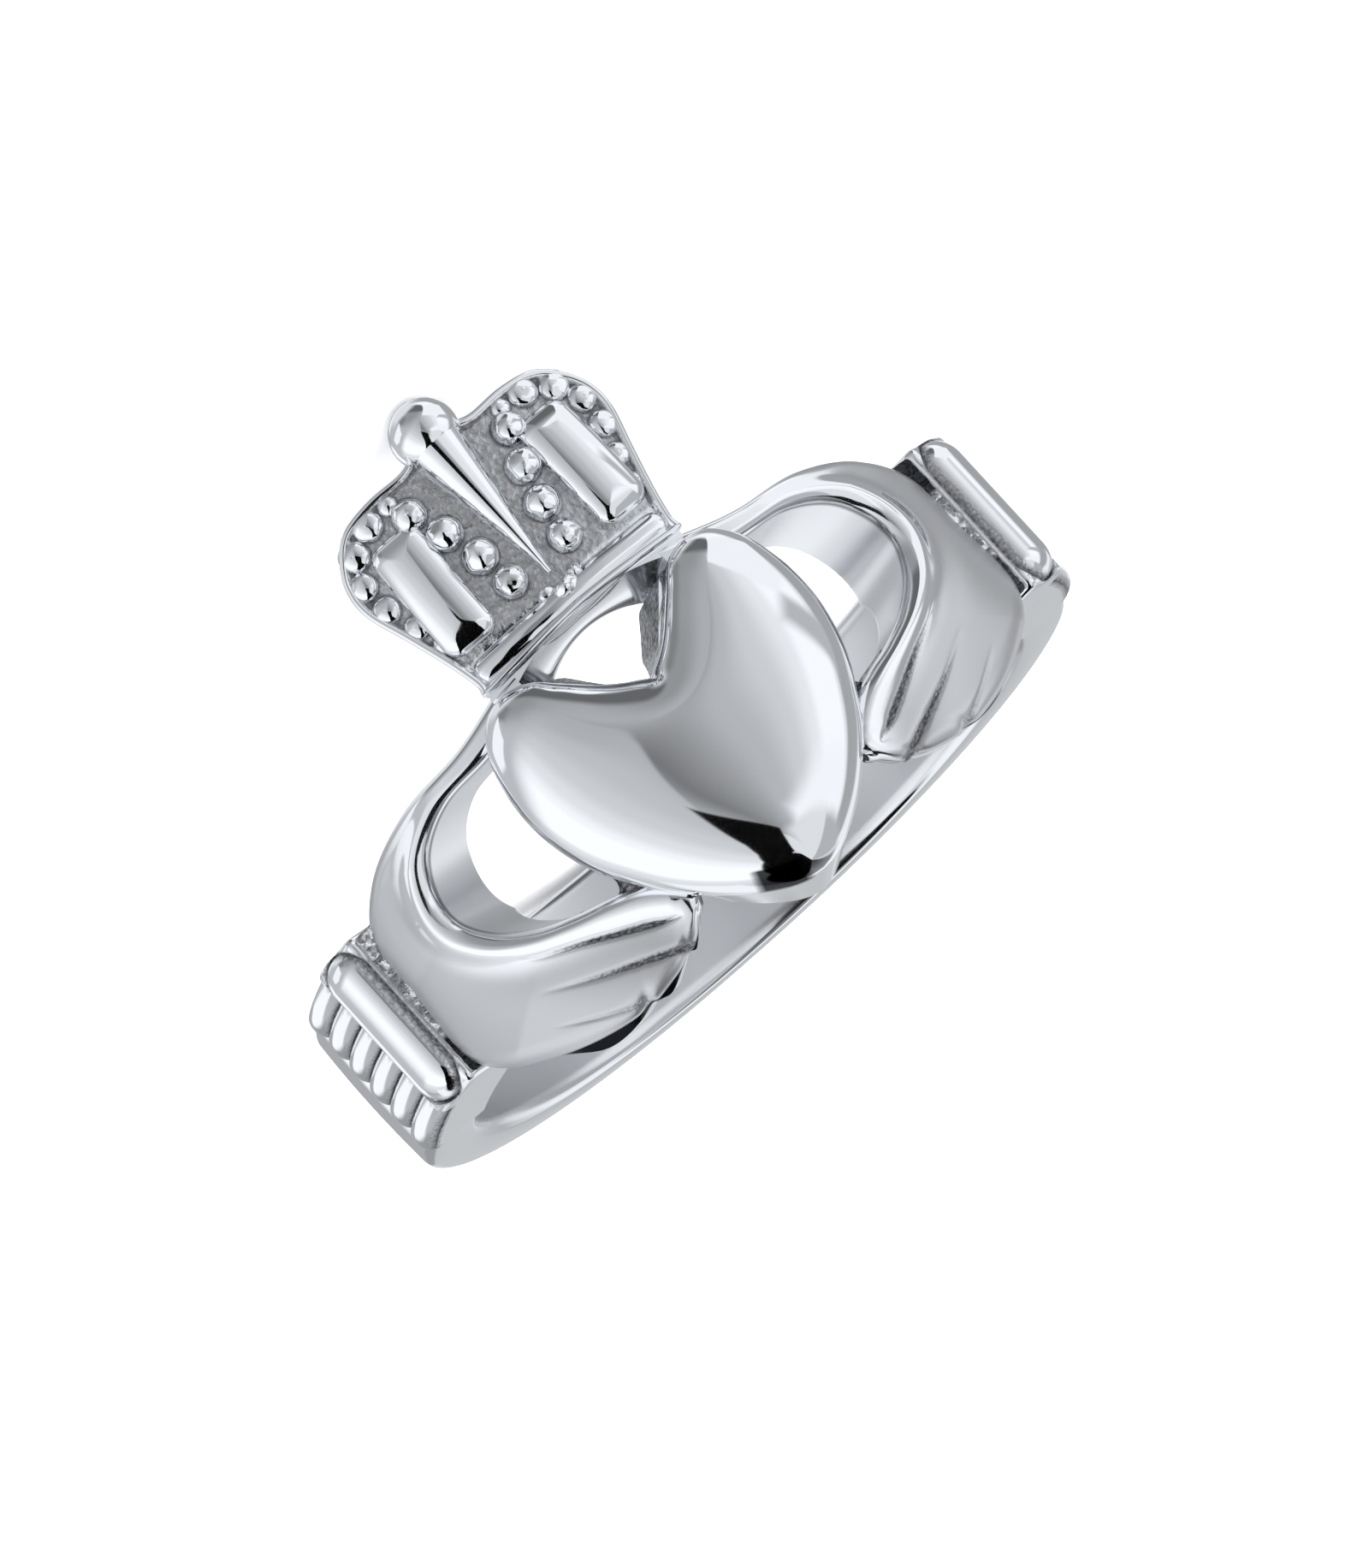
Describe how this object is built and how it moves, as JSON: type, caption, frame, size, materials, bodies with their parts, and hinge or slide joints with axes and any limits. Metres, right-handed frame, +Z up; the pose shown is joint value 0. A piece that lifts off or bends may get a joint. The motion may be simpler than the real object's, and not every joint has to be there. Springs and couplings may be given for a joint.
{
  "type": "claddagh ring",
  "caption": "Cast silver finger ring with two hands holding a crowned heart, pierced head, cross-barred and fluted cuffs, plain band.",
  "frame": {"origin": "on the surface that the ring lies on, under the middle of its bounding box", "axes": "+Z up from that surface; -Y towards the head with its crown and heart, +Y towards the back of the band; X across the ring. The ring lies on its side, crown down, so the finger's axis leans 22.1 degrees from Z."},
  "size_m": [0.021, 0.024, 0.0141],
  "materials": {
    "silver": "polished"
  },
  "bodies": {
    "root": {"claddagh_ring": "silver"}
  },
  "joints": []
}
